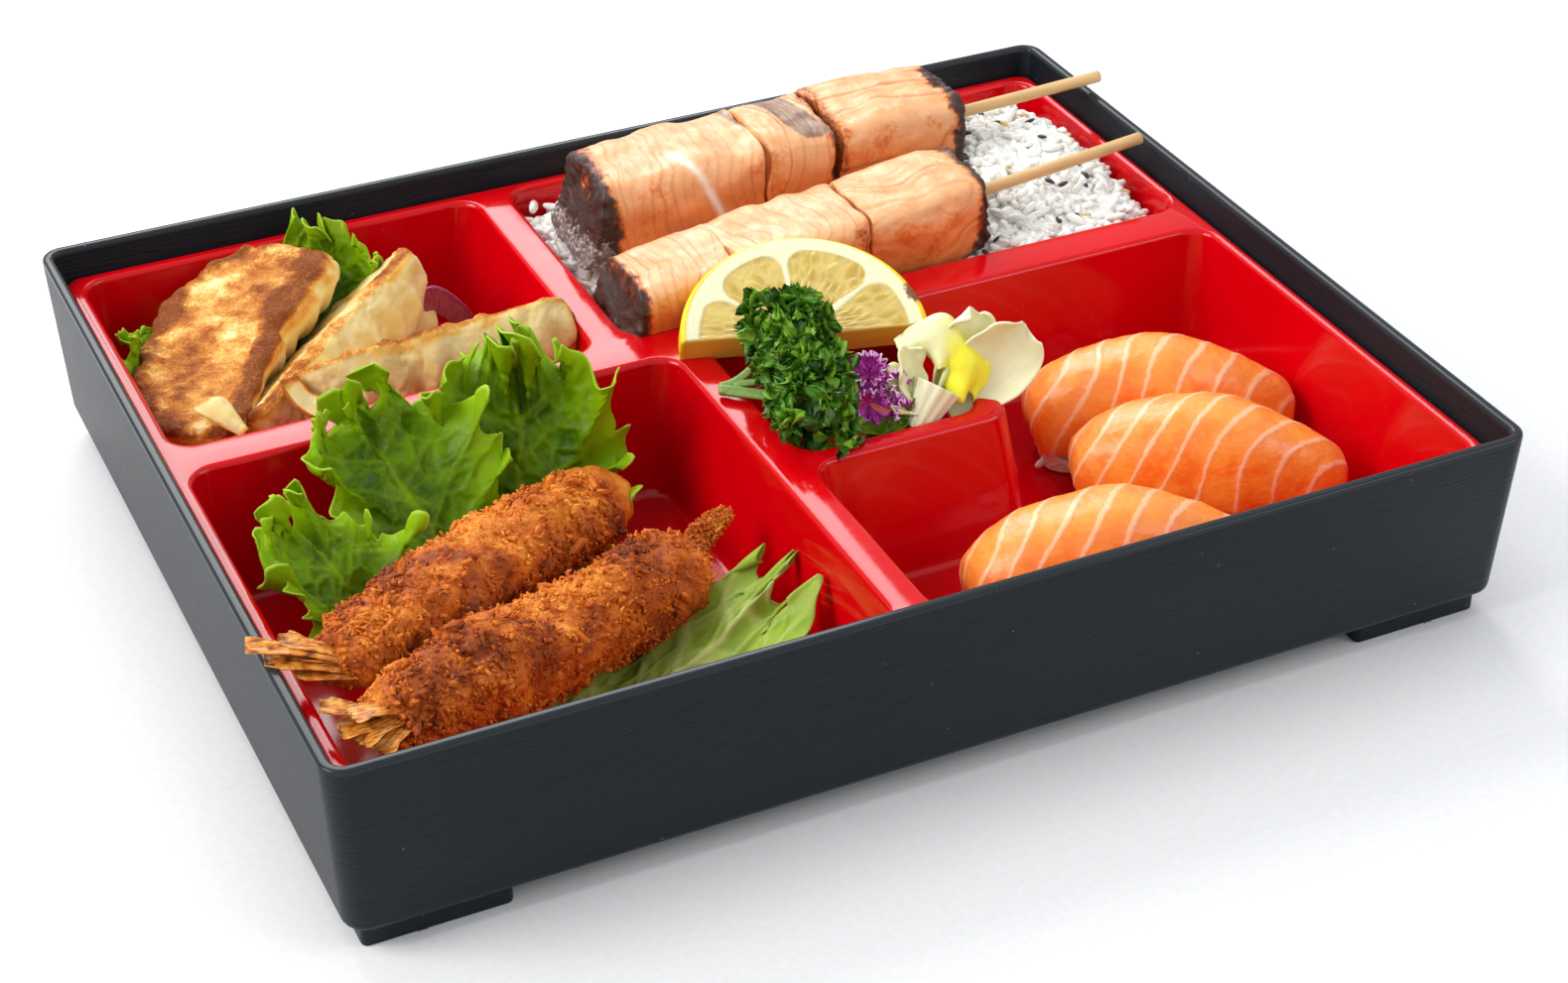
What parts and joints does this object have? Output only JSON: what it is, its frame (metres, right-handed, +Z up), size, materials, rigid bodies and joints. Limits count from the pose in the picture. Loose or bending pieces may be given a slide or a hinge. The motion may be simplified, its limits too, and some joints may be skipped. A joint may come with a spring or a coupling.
{
  "type": "bento box meal",
  "caption": "Black takeaway bento box with a red divided tray of dumplings, grilled salmon skewers on rice, fried prawns, salmon sushi and a lemon garnish.",
  "frame": {"origin": "middle of the box on the surface it stands on", "axes": "+X to the right along the long side, +Y to the back, +Z up"},
  "size_m": [0.3157, 0.252, 0.0757],
  "materials": {
    "black_plastic": "black-grey plastic with a fine embossed wood grain",
    "red_plastic": "glossy red",
    "fried_dough": "seared dough, pale at the pleats and brown on the base",
    "grilled_salmon": "grilled fish with browned edges",
    "raw_salmon": "wet orange fish with pale fat lines",
    "cooked_rice": "white sticky grains",
    "bamboo": "unfinished pale bamboo",
    "fried_crumb": "rough golden-brown crumb",
    "prawn_shell": "translucent orange shell",
    "lettuce": "fresh green leaf with pale veins",
    "parsley_leaf": "dark green curly leaf",
    "lemon": "yellow rind, cream pith and ochre-yellow flesh",
    "purple_petal": "soft purple petal with a white fringe",
    "yellow_petal": "white petal with a yellow throat",
    "pickled_onion": "translucent purple-red"
  },
  "bodies": {
    "root": {"outer_box": "black_plastic", "insert_tray": "red_plastic", "gyoza_left": "fried_dough", "gyoza_middle": "fried_dough", "gyoza_front": "fried_dough", "gyoza_lettuce_back": "lettuce", "gyoza_lettuce_left": "lettuce", "onion_slice": "pickled_onion", "rice_bed": "cooked_rice", "skewer_front": "bamboo", "skewer_back": "bamboo", "salmon_front_left": "grilled_salmon", "salmon_front_middle": "grilled_salmon", "salmon_front_right": "grilled_salmon", "salmon_back_left": "grilled_salmon", "salmon_back_middle": "grilled_salmon", "salmon_back_right": "grilled_salmon", "prawn_back": "fried_crumb", "prawn_front": "fried_crumb", "prawn_back_tail": "prawn_shell", "prawn_front_tail": "prawn_shell", "lettuce_back": "lettuce", "lettuce_left": "lettuce", "lettuce_corner": "lettuce", "lettuce_front": "lettuce", "nigiri_back_rice": "cooked_rice", "nigiri_middle_rice": "cooked_rice", "nigiri_front_rice": "cooked_rice", "nigiri_back_salmon": "raw_salmon", "nigiri_middle_salmon": "raw_salmon", "nigiri_front_salmon": "raw_salmon", "lemon_slice": "lemon", "parsley": "parsley_leaf", "yellow_flower": "yellow_petal", "purple_flower": "purple_petal"}
  },
  "joints": []
}
